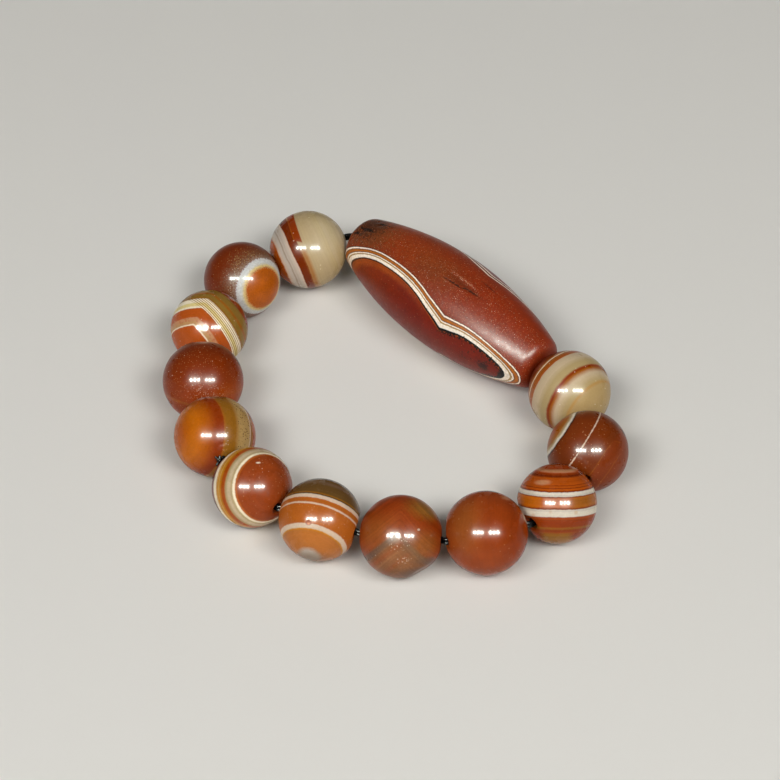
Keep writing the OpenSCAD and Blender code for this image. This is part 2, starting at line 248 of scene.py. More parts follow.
# The round beads, in the order of the string from the barrel bead's rear end. A bead's own
# axes are: X right, Y up and Z towards the side that it is looked at from. Places and depths are
# in bead radii. Layers lie across one line through the stone, or fold where two such lines meet:
# the first colour, and then each edge's depth, how soft it is, and the colour after it. Marks
# lie over the layers, and limits keep them to one side: a way, how far out, and how soft
ROUND_BEADS = {
    "round_bead_01": dict(
        slot="cream_agate", across=(0.913, 0.409, -0.015), waver=0.02,
        layers=(
            "burnt", (-0.75, 0.035, "shell"), (-0.7, 0.05, "lilac"), (-0.46, 0.05, "shell"),
            (-0.425, 0.02, "russet"), (-0.205, 0.03, "butter"), (-0.1, 0.12, "cream"),
            (0.4, 0.2, "butter"), (0.5, 0.1, "cream"), (0.62, 0.12, "butter"),
            (0.74, 0.16, "cream"),
        ),
        marks=(
            strip("taupe", -0.618, -0.588, 0.03, strength=0.55),
            strip("taupe", -0.56, -0.53, 0.06, strength=0.2),
            strip("rust", -0.215, -0.02, 0.02, across=(0.932, 0.357, 0.06),
                  limits=(((0.2, 0.97, 0), 0.14, 0.02),)),
            strip("tan", -0.215, -0.19, 0.012, across=(0.932, 0.357, 0.06),
                  limits=(((0.2, 0.97, 0), 0.14, 0.02),), strength=0.45),
            strip("tan", -0.22, -0.1, 0.08, limits=((DOWN, -0.1, 0.1),), strength=0.75),
            patch("ivory", (0.48, 0.35, 0.8), (0.42, 0.6, 0.6), 0.9, strength=0.24),
            specks("ivory", 0.9, 0.3, 0.12, strength=0.5),
        ),
        clouds=0.03, grain=0.02, halo=0.26,
    ),
    "round_bead_02": dict(
        slot="brown_agate", across=EYE_WAY, waver=0.006, fray=(4.5, 0.024),
        layers=(
            "russet", (0.665, 0.03, "frost"), (0.79, 0.05, "straw"), (0.83, 0.05, "burnt"),
        ),
        marks=(
            patch("taupe", EYE_WAY, (1.08, 1.08, 1.08), 0.26, reach=(-2, 0.65),
                  ragged=0.9, strength=0.75),
            patch("lilac", EYE_WAY, (0.87, 0.87, 0.87), 0.12, reach=(-2, 0.65),
                  ragged=0.6, strength=0.3),
            strip("amber", 0.83, 2, 0.1, ragged=0.3, strength=0.5),
            patch("sand", (0.05, 0.58, 0.8), (0.42, 0.36, 0.6), 0.3, reach=(-2, 0.64),
                  specks=(0.31, 0.6, 0.25)),
            patch("shell", (-0.15, -0.08, 0.98), (0.34, 0.5, 0.5), 0.4, reach=(-2, 0.64),
                  specks=(0.33, 0.45, 0.21), strength=0.8),
            specks("fawn", 0.4, 0.4, 0.18, reach=(-2, 0.64), strength=0.6),
            specks("lilac", 0.3, 0.5, 0.3, reach=(0.67, 0.8), strength=0.5),
            specks("russet", 0.36, 0.4, 0.22, reach=(0.83, 2), strength=0.45),
        ),
        clouds=0.09, grain=0.16, halo=0.32,
    ),
    "round_bead_03": dict(
        slot="orange_agate", across=(0.082, 0.922, -0.378), waver=0.01,
        fold=((0.75, 0.59, -0.3), 0.23, 0.03),
        layers=(
            "flame", (-0.3, 0.015, "ivory"), (-0.268, 0.02, "fawn"), (-0.1, 0.03, "flame"),
            (0.155, 0.015, "ivory"), (0.215, 0.03, "straw"), (0.325, 0.03, "ivory"),
            (0.465, 0.02, "bronze"), (0.51, 0.06, "khaki"), (0.645, 0.04, "tan"),
            (0.71, 0.05, "khaki"), (0.93, 0.03, "rust"),
        ),
        marks=(
            strip("bronze", -0.09, 0.225, across=(0.75, 0.59, -0.3), lines=0.052),
            specks("flame", 0.5, 0.6, 0.45, reach=(-0.262, -0.1), strength=0.5),
            strip("sand", -0.262, -0.2, 0.05, strength=0.6),
            specks("shell", 0.8, 0.35, 0.14, strength=0.5),
        ),
        clouds=0.07, grain=0.08, halo=0.24, pits=((-0.14, 0.06, 1.3, 0.05),),
    ),
    "round_bead_04": dict(
        slot="brown_agate", across=(-0.2, 0.95, 0.1), waver=0.1,
        layers=("rust", (0.2, 1.2, "russet")),
        marks=(
            strip("tan", -0.56, -0.5, 0.04, across=(0.25, 0.95, 0.15), strength=0.5,
                  limits=((LEFT, -0.2, 0.2),)),
            strip("tan", -0.43, -0.39, 0.05, across=(-0.25, 0.95, 0.05), strength=0.4,
                  limits=((RIGHT, 0.45, 0.15),)),
            patch("burnt", (0.75, -0.35, 0.6), (0.45, 0.3, 0.5), 0.6, strength=0.5),
            specks("fawn", 0.28, 0.5, 0.23, strength=0.6),
            specks("shell", 0.62, 0.4, 0.11),
            # Partly painted sheen: the stone's pale specks here are set dense and strong so that they
            # also stand for the haze round the glints
            patch("shell", (0.1, -0.3, 0.95), (0.5, 0.2, 0.5), 0.5, specks=(0.26, 0.6, 0.26),
                  strength=0.8),
        ),
        clouds=0.08, grain=0.13, halo=0.3, streaks=0.02, flats=(((0, 1, 0.1), 0.965),),
    ),
    "round_bead_05": dict(
        slot="orange_agate", across=(0.882, -0.064, -0.467), waver=0.02,
        layers=(
            "burnt", (-0.98, 0.2, "amber"), (-0.6, 0.34, "rust"), (-0.262, 0.02, "tan"),
            (-0.225, 0.03, "bronze"), (0.106, 0.14, "sand"), (0.5, 0.02, "shell"),
            (0.53, 0.02, "bronze"), (0.62, 0.1, "burnt"),
        ),
        marks=(
            specks("umber", 0.33, 0.6, 0.27, reach=(0.12, 0.5)),
            specks("umber", 0.5, 0.3, 0.18, strength=0.35),
            # Partly painted glints: these pale specks over the two chips are in part scuffs, and in
            # part stand for light caught by the chips' broken edges
            patch("shell", (0.26, -0.1, 0.94), (0.09, 0.34, 0.3), 0.4, specks=(0.28, 0.5, 0.24),
                  strength=0.9),
        ),
        clouds=0.07, grain=0.1, halo=0.26, flats=(((0, 1, 0.1), 0.965),),
        pits=((0.2, -0.18, 0.5, 0.08), (0.27, -0.3, 0.35, 0.08)),
    ),
    "round_bead_06": dict(
        slot="red_agate", across=(0.505, -0.018, 0.863), waver=0.01,
        layers=(
            "russet", (-0.23, 0.04, "lilac"), (-0.19, 0.03, "ivory"), (-0.055, 0.03, "ochre"),
            (0.165, 0.05, "burnt"), (0.3, 0.05, "butter"), (0.36, 0.05, "milk"),
            (0.46, 0.04, "butter"), (0.505, 0.03, "ivory"), (0.565, 0.02, "orange"),
            (0.605, 0.03, "brick"),
        ),
        marks=(
            strip("straw", -0.03, 0, 0.03, strength=0.5),
            strip("straw", 0.06, 0.09, 0.04, strength=0.4),
            patch("ivory", (0.14, 0.6, 0.79), (0.055, 0.018, 0.2), 0.5, ragged=1, strength=0.8),
            patch("shell", (0.24, 0.4, 0.87), (0.16, 0.12, 0.3), 0.4, specks=(0.36, 0.4, 0.22),
                  strength=0.7),
            patch("shell", (0.8, 0.35, 0.5), (0.12, 0.3, 0.4), 0.4, specks=(0.36, 0.4, 0.2),
                  strength=0.7),
            specks("fawn", 0.5, 0.4, 0.2, reach=(0.61, 2), strength=0.45),
        ),
        clouds=0.09, grain=0.09, halo=0.28, flats=(((0.85, -0.35, -0.4), 0.84),),
        pits=((0.15, 0.6, 0.5, 0.08), (0.05, 0.43, 0.45, 0.06)),
    ),
    "round_bead_07": dict(
        slot="orange_agate", across=(0.25, 0.86, -0.45), waver=0.012,
        layers=(
            "lilac", (-0.965, 0.04, "apricot"), (-0.69, 0.03, "ochre"), (-0.665, 0.02, "shell"),
            (-0.573, 0.02, "orange"), (-0.13, 0.02, "shell"), (-0.088, 0.02, "orange"),
            (0.039, 0.02, "shell"), (0.142, 0.02, "umber"), (0.17, 0.03, "bronze"),
            (0.21, 0.04, "olive"), (0.53, 0.1, "taupe"), (0.62, 0.12, "olive"),
        ),
        marks=(
            # Painted shade: this grey-brown patch darkens the lilac cap low on the bead, where shade
            # falls
            patch("taupe", (-0.3, -0.95, 0.2), (0.5, 0.2, 0.6), 0.6, strength=0.75),
            patch("rust", (-0.27, -0.07, 0.96), (0.075, 0.06, 0.2), 0.3, strength=0.8),
            patch("orange", (-0.265, -0.085, 0.96), (0.045, 0.035, 0.2), 0.3),
            specks("fawn", 0.45, 0.4, 0.24, reach=(-0.57, -0.13), strength=0.4),
        ),
        clouds=0.06, grain=0.07, halo=0.24, flats=(((0.96, -0.27, 0), 0.9),),
        pits=((-0.27, -0.07, 0.5, 0.05),),
    ),
    "round_bead_08": dict(
        slot="red_agate", across=FOLD_LEFT, waver=0.03,
        fold=(FOLD_RIGHT, -0.035, 0.08),
        layers=("cocoa", (0.13, 0.09, "brick"), (0.62, 0.3, "rust")),
        marks=(
            strip("mauve", 0.03, 0.18, 0.06, across=FOLD_LEFT, strength=0.9,
                  limits=((LEFT, 0.14, 0.12),)),
            strip("brick", -0.16, -0.04, 0.1, across=FOLD_LEFT, strength=0.55,
                  limits=((FOLD_INNER, -0.16, 0.06),)),
            strip("fawn", -0.24, -0.2, 0.08, across=FOLD_LEFT, strength=0.15,
                  limits=((FOLD_INNER, -0.12, 0.06),)),
            strip("brick", -0.46, -0.38, 0.1, across=FOLD_LEFT, strength=0.5,
                  limits=((FOLD_INNER, -0.1, 0.06),)),
            strip("mauve", 0.06, 0.18, 0.08, across=FOLD_RIGHT, strength=0.7,
                  limits=((DOWN, 0, 0.1), (RIGHT, 0, 0.1))),
            patch("khaki", (0.62, 0.66, 0.4), (0.46, 0.28, 0.5), 0.6, strength=0.6, ragged=0.8),
            patch("khaki", (-0.6, 0.1, 0.75), (0.5, 0.4, 0.5), 0.8, strength=0.2, ragged=0.8),
            patch("mauve", (0.66, -0.58, 0.45), (0.4, 0.09, 0.5), 0.6, strength=0.7, ragged=0.6),
            patch("mauve", (0.4, -0.86, 0.3), (0.42, 0.14, 0.5), 0.5, strength=0.8, ragged=0.6),
            patch("mauve", (0.22, -0.22, 0.95), (0.16, 0.26, 0.4), 0.7, strength=0.35, ragged=1),
            patch("khaki", (0.55, -0.22, 0.8), (0.36, 0.3, 0.5), 0.8, strength=0.3),
            patch("fawn", (0.02, -0.5, 0.8), (0.5, 0.38, 0.5), 0.7, strength=0.15, ragged=1.5),
            patch("shell", (-0.02, -0.18, 0.98), (0.22, 0.14, 0.3), 0.5, specks=(0.3, 0.5, 0.32),
                  strength=0.7),
            patch("shell", (0.08, -0.56, 0.82), (0.1, 0.07, 0.3), 0.5, specks=(0.26, 0.7, 0.36),
                  strength=0.8),
            patch("shell", (-0.2, -0.4, 0.9), (0.6, 0.35, 0.5), 0.5, specks=(0.5, 0.3, 0.26),
                  strength=0.4),
            patch("shell", (0.42, 0.16, 0.89), (0.03, 0.025, 0.2), 0.5),
        ),
        clouds=0.1, grain=0.1, halo=0.32, streaks=0.16, flats=(((0.5, -0.85, 0.1), 0.94),),
        pits=((-0.13, -0.02, 1.6, 0.06), (0.08, -0.56, 0.5, 0.08)),
    ),
    "round_bead_09": dict(
        slot="red_agate", across=(0.9, 0.1, 0.3), waver=0.06,
        layers=("orange", (-0.85, 0.4, "brick"), (0.6, 0.5, "rust")),
        marks=(
            patch("rust", (0.1, 0.3, 0.9), (0.22, 0.6, 0.5), 0.7, strength=0.45),
            patch("khaki", (-0.5, 0.2, 0.85), (0.35, 0.6, 0.5), 0.8, strength=0.2),
            patch("shell", (0.93, 0.33, 0.1), (0.07, 0.1, 0.2), 0.5, strength=0.7, ragged=1.2),
            patch("fawn", (0.87, 0.5, 0.05), (0.05, 0.2, 0.2), 0.5, strength=0.6, ragged=0.8),
            patch("fawn", (0.5, 0.82, 0.28), (0.16, 0.05, 0.2), 0.5, strength=0.5, ragged=0.8),
            specks("fawn", 0.7, 0.3, 0.16, strength=0.5),
        ),
        clouds=0.1, grain=0.07, halo=0.24, streaks=0.08, flats=((LEFT, 0.94),),
    ),
    "round_bead_10": dict(
        slot="orange_agate", across=(0.002, 0.985, 0.171), waver=0.01,
        layers=(
            "bronze", (-0.6, 0.06, "rust"), (-0.5, 0.04, "bronze"), (-0.45, 0.04, "rust"),
            (-0.26, 0.06, "brick"), (-0.175, 0.02, "chalk"), (0.01, 0.02, "russet"),
            (0.06, 0.04, "flame"), (0.29, 0.04, "russet"), (0.325, 0.015, "chalk"),
            (0.425, 0.02, "russet"), (0.46, 0.03, "burnt"), (0.755, 0.03, "russet"),
            (0.8, 0.04, "rust"), (0.87, 0.04, "fawn"), (0.91, 0.04, "rust"),
        ),
        marks=(
            strip("amber", 0.05, 0.3, 0.03, limits=((LEFT, 0.36, 0.04),), strength=0.8),
            strip("fawn", 0.05, 0.3, 0.03, strength=0.2,
                  limits=((RIGHT, -0.34, 0.03), (LEFT, -0.36, 0.05))),
            strip("tan", 0.05, 0.3, 0.03, limits=((RIGHT, 0.35, 0.1),)),
            strip("russet", 0.505, 0.525, 0.02, strength=0.75),
            strip("russet", 0.565, 0.59, 0.02, strength=0.65, limits=((RIGHT, -0.2, 0.2),)),
            strip("russet", 0.66, 0.68, 0.02, strength=0.5, limits=((RIGHT, 0, 0.3),)),
            patch("fawn", (-0.34, 0.52, 0.78), (0.19, 0.06, 0.3), 0.5, strength=0.85, ragged=0.4),
            patch("fawn", (0.1, 0.8, 0.58), (0.4, 0.04, 0.3), 0.5, strength=0.6, ragged=0.4),
            strip("rust", -2, -0.6, 0.05, limits=((RIGHT, 0.36, 0.08),)),
            strip("rust", -2, -0.6, 0.05, limits=((LEFT, 0.36, 0.08),)),
            specks("ochre", 1.3, 0.4, 0.3, reach=(-0.17, 0), strength=0.35),
        ),
        clouds=0.07, grain=0.07, halo=0.26, streaks=0.22, flats=(((-0.88, -0.44, -0.17), 0.82),),
    ),
    "round_bead_11": dict(
        slot="brown_agate", across=(0.824, -0.565, -0.034), waver=0.022,
        layers=(
            "burnt", (-0.93, 0.08, "tan"), (-0.84, 0.05, "butter"), (-0.805, 0.03, "chalk"),
            (-0.755, 0.02, "umber"), (-0.725, 0.03, "chestnut"),
        ),
        marks=(
            strip("shell", -0.277, -0.25, 0.015, across=(0.835, -0.54, -0.101), ragged=0.04),
            strip("tan", 0.325, 0.345, 0.02, strength=0.7, limits=((DOWN, -0.15, 0.08),)),
            strip("tan", 0.66, 0.68, 0.02, strength=0.7, limits=((DOWN, 0.1, 0.08),)),
            strip("tan", 0.345, 0.365, 0.02, across=(0.2, 0.95, 0), strength=0.6,
                  limits=((RIGHT, 0.66, 0.04), (LEFT, -0.82, 0.03))),
            strip("rust", 0.34, 2, 0.05, strength=0.4),
            patch("fawn", (0.1, 0.25, 0.9), (0.5, 0.5, 0.6), 0.5, specks=(0.42, 0.4, 0.18),
                  strength=0.7),
            patch("shell", (-0.2, -0.2, 0.9), (0.25, 0.2, 0.4), 0.5, specks=(0.45, 0.4, 0.22),
                  strength=0.6),
            specks("fawn", 0.5, 0.35, 0.18, strength=0.4),
        ),
        clouds=0.08, grain=0.1, halo=0.3,
    ),
    "round_bead_12": dict(
        slot="cream_agate", across=(-0.64, 0.53, -0.56), waver=0.018,
        layers=(
            "butter", (-0.6, 0.14, "milk"), (-0.44, 0.1, "tan"), (-0.36, 0.04, "rust"),
            (-0.28, 0.05, "butter"), (-0.05, 0.14, "milk"), (0.245, 0.02, "burnt"),
            (0.28, 0.02, "tan"), (0.31, 0.02, "burnt"), (0.355, 0.02, "tan"),
            (0.43, 0.02, "ivory"), (0.465, 0.02, "tan"), (0.54, 0.05, "russet"),
        ),
        marks=(
            strip("ochre", 0.63, 2, 0.06, across=(0.693, -0.577, 0.433), strength=0.15),
            strip("ochre", 0.62, 0.67, 0.04, across=(0.693, -0.577, 0.433), strength=0.4),
            specks("ivory", 0.8, 0.3, 0.13, strength=0.5),
        ),
        clouds=0.03, grain=0.03, halo=0.3, streaks=0.03,
    ),
}

# Directions in the barrel bead's axes
REARWARD, FRONTWARD, UPWARD = (1, 0, 0), (-1, 0, 0), (0, 0, 1)

# What lies over the barrel bead's layers, in its own axes and in millimetres: clouds, the fine
# specks of its middle, the brown weathering and black stains at its two ends, and a painted
# shadow in the almond-shaped hollow
BARREL_MARKS = (
    patch("burnt", (9, 0, 8), (9, 5, 6), 1, strength=0.22, reach=(-8, -0.1), ragged=1),
    patch("olive", (1.5, 2.5, 8), (5, 2.4, 3), 1, strength=0.3, reach=(-8, -0.1), ragged=2),
    patch("olive", (17.5, 1.5, 5), (5.5, 3.4, 4), 0.6, strength=0.5, reach=(-8, -0.15), ragged=2.5),
    patch("umber", (18.5, 0.2, 5), (3, 3, 3), 0.4, strength=0.8, reach=(-8, -0.15), ragged=3.5),
    patch("soot", (18.3, 1.6, 5.2), (1.7, 0.28, 2), 0.4, ragged=3),
    patch("soot", (17, -0.8, 5.6), (1.6, 0.22, 2), 0.4, ragged=3),
    patch("soot", (19.6, 2.6, 4), (0.9, 0.25, 2), 0.4, ragged=3),
    specks("fawn", 0.22, 0.6, 0.25, reach=(-8, -0.13), strength=0.55),
    specks("shell", 0.36, 0.45, 0.14, reach=(-8, -0.13), strength=0.9),
    specks("fawn", 0.4, 0.3, 0.16, reach=(1.1, 9), strength=0.5),
    patch("shell", (-3.75, 1.05, 8), (2.8, 0.3, 2), 0.6, ragged=2, specks=(0.22, 0.6, 0.34),
          strength=0.6),
    patch("fawn", (-4.3, 0.9, 8), (1.9, 0.08, 2), 0.6, ragged=2.5, strength=0.4),
    # Painted shadow: this dark brown along the upper side of the almond-shaped hollow stands for the
    # shade that falls into it
    patch("umber", (-4.6, 1.7, 8), (3.2, 0.45, 2), 0.8, ragged=1.5, strength=0.35),
    patch("soot", (-7.7, -1.1, 8), (1.3, 0.16, 2), 0.6, ragged=3, strength=0.5),
    strip("umber", 2.58, 2.84, 0.1, across=(-0.062, 1, 0), ragged=0.8,
          limits=((REARWARD, -4.3, 0.1), (FRONTWARD, 1.2, 0.5), (UPWARD, 1, 0.1))),
    strip("umber", 4.38, 4.64, 0.1, across=(-0.48, 1, 0), ragged=0.8,
          limits=((REARWARD, -5.4, 0.1), (FRONTWARD, 4.3, 0.1), (UPWARD, 1, 0.1))),
    strip("umber", 2.33, 2.59, 0.1, across=(-0.1, 1, 0), ragged=0.8,
          limits=((REARWARD, -7.6, 0.5), (FRONTWARD, 5.4, 0.1), (UPWARD, 1, 0.1))),
    strip("burnt", 1.085, 1.5, 0.4, strength=0.8, limits=((REARWARD, 3, 6),)),
    patch("burnt", (17, 6.5, 3), (9, 4, 5), 0.9, reach=(1.1, 9), strength=0.3),
    strip("soot", 1, 1.15, 0.08, ragged=0.9, limits=((FRONTWARD, 5, 1.2),)),
    patch("soot", (-17.6, 5, -1.6), (0.8, 1, 2.2), 0.5, ragged=2.5, reach=(0.9, 9), strength=0.9),
    patch("soot", (-14.3, 6.4, -0.7), (0.9, 0.9, 0.9), 0.6, ragged=2.5, reach=(0.9, 9), strength=0.8),
    patch("umber", (-13.5, 6, 0), (4.5, 3, 3), 0.5, ragged=2, reach=(1, 9),
          specks=(0.5, 0.5, 0.35), strength=0.8),
)

# How the barrel bead's layers lie, in millimetres: how far they lean for each 1 of height, how
# far out the white lines lie in front, how wide they are at two places along the bead, and how
# far all layers bend sideways at places along it. They have a corner where the bend is 0
LAYER_LEAN = 0.127
LINES_DEPTH = 6.12
LINES_THICK = ((-17, 0.8), (-5, 1.28))
LAYER_BENDS = (
    (-21, -1.75), (-16.7, -1.34), (-10.4, -0.81), (-6.9, -0.26), (-5.24, 0), (-1.3, -0.71),
    (1.7, -1.41), (5.5, -2.03), (9.9, -2.38), (12.2, -2.46), (17, -2.1), (21, -1.6),
)
FRONT_LAYERS = (
    "carnelian", (-0.13, 0.03, "soot"), (-0.075, 0.02, "bone"), (0.07, 0.02, "umber"),
    (0.115, 0.03, "tan"), (0.2, 0.03, "amber"), (0.33, 0.02, "tan"), (0.385, 0.02, "umber"),
    (0.42, 0.02, "bone"), (0.52, 0.02, "sand"), (0.635, 0.03, "bone"), (0.915, 0.02, "soot"),
    (1.075, 0.03, "burnt"), (1.12, 0.09, "oxblood"),
)
BACK_LAYERS = (
    "oxblood", (-5.34, 0.03, "bone"), (-5.04, 0.03, "russet"), (-4.6, 0.03, "bone"),
    (-4.32, 0.03, "carnelian"),
)

# The barrel bead's hairline crack and the almond-shaped hollow beside it, as places along and
# across its top, half sizes and depths
BARREL_CRACK = ((-0.9, 2.66), (-2.6, 2.62), (-4.3, 2.45), (-5.4, 1.92), (-7.9, 1.67))
CRACK_WIDE, CRACK_DEEP = 0.22, 0.07
HOLLOW_PLACE, HOLLOW_SIZE, HOLLOW_DEEP = (-4.4, 1.5), (3.8, 1.15), 0.22

# Chips at the barrel bead's rear end: places along and across its top, how wide and how deep
BARREL_CHIPS = (
    (20.4, 3.5, 1.1, 0.3), (19.2, 1.9, 1.2, 0.16), (18.4, -1.1, 0.8, 0.16),
    (17.1, -0.3, 0.9, 0.1), (16.4, 2.8, 0.8, 0.08), (14.8, -0.5, 0.7, 0.06),
)


def put(tree, kind, links=None, out=0, **settings):
    """Adds a node with its settings, gives each input a value or the socket that feeds it,
    and returns the output asked for."""
    node = tree.nodes.new(kind)
    for setting, value in settings.items():
        setattr(node, setting, value)
    for socket, source in (links or {}).items():
        if isinstance(source, bpy.types.NodeSocket):
            tree.links.new(source, node.inputs[socket])
        else:
            node.inputs[socket].default_value = source
    return node.outputs[out] if node.outputs else node


def colour(name):
    return tuple(getattr(bpy.context.scene.agate_colours, name))


def layered(add, depth, low, high, layers):
    """Colours the stone by its depth through the layers."""
    level = add("ShaderNodeMapRange", {"Value": depth, "From Min": low, "From Max": high})
    shade = add("ShaderNodeValToRGB", {"Fac": level})
    stops = shade.node.color_ramp.elements
    stops.remove(stops[1])
    stops[0].position = 0
    stops[0].color = before = colour(layers[0])
    for edge, blur, after in layers[1:]:
        for side, tint in ((-blur / 2, before), (blur / 2, colour(after))):
            stops.new((edge + side - low) / (high - low)).color = tint
        before = colour(after)
    return shade


def marked(add, point, space, depth, rough, base, mark):
    """Lays one mark over the stone: a strip between two depths, plain or of fine lines, a patch,
    specks, or where they meet. The rough socket makes its edges ragged."""
    parts = []
    ragged = mark.get("ragged", 0)
    if "reach" in mark:
        low, high = mark["reach"]
        if "across" in mark:
            way = mark["across"]
            depth = add("ShaderNodeVectorMath", {0: space, 1: way}, 1, operation="DOT_PRODUCT")
        off = add("ShaderNodeMath", {0: depth, 1: (low + high) / 2}, operation="SUBTRACT")
        off = add("ShaderNodeMath", {0: off}, operation="ABSOLUTE")
        if ragged and "centre" not in mark:
            off = add("ShaderNodeMath", {0: rough, 1: ragged, 2: off}, operation="MULTIPLY_ADD")
        half = (high - low) / 2
        blur = EDGE_BLUR if "centre" in mark else mark.get("blur", EDGE_BLUR)
        parts.append(add("ShaderNodeMapRange", {
            "Value": off, "From Min": half + blur / 2, "From Max": half - blur / 2,
        }))
    if "lines" in mark:
        wave = add("ShaderNodeMath", {0: depth, 1: 2 * math.pi / mark["lines"]}, operation="MULTIPLY")
        parts.append(add("ShaderNodeMath", {0: wave}, operation="SINE"))
    if "centre" in mark:
        off = add("ShaderNodeVectorMath", {0: space, 1: mark["centre"]}, operation="SUBTRACT")
        off = add("ShaderNodeVectorMath", {0: off, 1: mark["size"]}, operation="DIVIDE")
        off = add("ShaderNodeVectorMath", {0: off}, 1, operation="LENGTH")
        if ragged:
            off = add("ShaderNodeMath", {0: rough, 1: ragged, 2: off}, operation="MULTIPLY_ADD")
        parts.append(add("ShaderNodeMapRange", {
            "Value": off, "From Min": 1 + mark["blur"], "From Max": 1 - mark["blur"],
        }, interpolation_type="SMOOTHSTEP"))
    if "specks" in mark:
        spacing, share, size = mark["specks"]
        off = add("ShaderNodeTexVoronoi", {"Vector": point, "Scale": 1 / spacing}, "Distance")
        pick = add("ShaderNodeSeparateColor", {0: off.node.outputs["Color"]})
        parts.append(add("ShaderNodeMath", {0: pick, 1: share}, operation="LESS_THAN"))
        parts.append(add("ShaderNodeMapRange", {
            "Value": off, "From Min": size * 1.3, "From Max": size * 0.6,
        }))
    for way, start, blur in mark.get("limits", ()):
        out = add("ShaderNodeVectorMath", {0: space, 1: way}, 1, operation="DOT_PRODUCT")
        parts.append(add("ShaderNodeMapRange", {
            "Value": out, "From Min": start - blur, "From Max": start + blur,
        }))
    covers = mark.get("strength", 1.0)
    for part in parts:
        covers = add("ShaderNodeMath", {0: part, 1: covers}, operation="MULTIPLY")
    return add("ShaderNodeMix", {0: covers, 6: base, 7: colour(mark["colour"])}, 2, data_type="RGBA")


def swayed(add, rough, reach, value):
    """Lets a value sway with a noise, so far to both sides, and gives the noise about 0 too."""
    rough = add("ShaderNodeMath", {0: rough, 1: 0.5}, operation="SUBTRACT")
    return rough, add("ShaderNodeMath", {0: rough, 1: NOISE_SPAN * reach, 2: value},
                      operation="MULTIPLY_ADD")


def clouded(add, point, depth, base, clouds, grain, streaks, streak_scale):
    """Lightens and darkens the stone in clouds some 3 mm across, in a fine grain of 0.3 mm, and
    in streaks along its layers."""
    value = 1.0
    drifts = [
        add("ShaderNodeTexNoise", {"Vector": point, "Scale": scale, "Detail": 3.0})
        for scale in (0.35, 3.2)
    ]
    drifts.append(add("ShaderNodeTexNoise", {"W": depth, "Scale": streak_scale, "Detail": 3.0},
                      noise_dimensions="1D"))
    for drift, share in zip(drifts, (clouds, grain, streaks)):
        _, value = swayed(add, drift, share, value)
    return add("ShaderNodeHueSaturation", {"Value": value, "Color": base})


def new_material(name):
    """An empty material, what adds nodes to it, and the place of each point in metres."""
    material = bpy.data.materials.new(name)
    material.use_nodes = True
    material.node_tree.nodes.clear()
    add = partial(put, material.node_tree)
    return material, add, add("ShaderNodeTexCoord", out="Object")


def stone_skin(add, point, shade, sheen, pits, gloss):
    """Ends a stone's material: a roughness that varies between two values as the polish has worn,
    pits of a strength and a height in millimetres, each with its noise's scale and detail, and
    how strongly the face shines."""
    scale, detail, clear, dull = sheen
    worn = add("ShaderNodeTexNoise", {"Vector": point, "Scale": scale, "Detail": detail})
    worn = add("ShaderNodeMapRange", {
        "Value": worn, "From Min": 0.3, "From Max": 0.7, "To Min": clear, "To Max": dull,
    })
    scale, detail, strength, height = pits
    pits = add("ShaderNodeTexNoise", {"Vector": point, "Scale": scale, "Detail": detail})
    skin = add("ShaderNodeBump", {
        "Height": pits, "Strength": strength, "Distance": height * MM,
    })
    shader = add("ShaderNodeBsdfPrincipled", {
        "Base Color": shade, "Roughness": worn, "Normal": skin, "IOR": AGATE_IOR, **gloss,
    })
    add("ShaderNodeOutputMaterial", {"Surface": shader})


def polished_agate(name, radius, stone):
    """Banded agate, ground round and tumble polished: a clear glassy gloss over layers that go
    right through the stone, with a softer sheen below it where the polish has worn."""
    material, add, point = new_material(name)
    point = add("ShaderNodeVectorMath", {0: point, "Scale": 1 / MM}, operation="SCALE")
    space = add("ShaderNodeVectorMath", {0: point, "Scale": MM / radius}, operation="SCALE")

    depth = add("ShaderNodeVectorMath", {0: space, 1: stone["across"]}, 1, operation="DOT_PRODUCT")
    if "fold" in stone:
        across, shift, bend = stone["fold"]
        other = add("ShaderNodeVectorMath", {0: space, 1: across}, 1, operation="DOT_PRODUCT")
        other = add("ShaderNodeMath", {0: other, 1: shift}, operation="ADD")
        depth = add("ShaderNodeMath", {0: depth, 1: other, 2: bend}, operation="SMOOTH_MAX")
    # The layers sway over some 5 mm, and fray over half a millimetre
    for scale, reach in ((0.22, stone["waver"]), stone.get("fray", (2.0, 0.006))):
        rough = add("ShaderNodeTexNoise", {"Vector": point, "Scale": scale, "Detail": 4.0})
        rough, depth = swayed(add, rough, reach, depth)
    shade = layered(add, depth, -1.05, 1.05, stone["layers"])
    for mark in stone["marks"]:
        shade = marked(add, point, space, depth, rough, shade, mark)
    # Growth streaks are a few hundredths of a millimetre thick; these are drawn 0.2 mm thick
    shade = clouded(add, point, depth, shade, stone["clouds"], stone["grain"],
                    stone.get("streaks", 0.05), streak_scale=16.0)
    # Pits left by grinding are some 0.02 mm across; they are drawn 0.2 mm wide so that they show
    halo = stone["halo"]
    stone_skin(
        add, point, shade, sheen=(0.5, 5.0, halo - 0.06, halo + 0.08), pits=(5.0, 2.0, 0.10, 0.01),
        gloss={"Specular IOR Level": 0.07, "Coat Weight": 0.17, "Coat Roughness": 0.12,
               "Coat IOR": AGATE_IOR},
    )
    return material


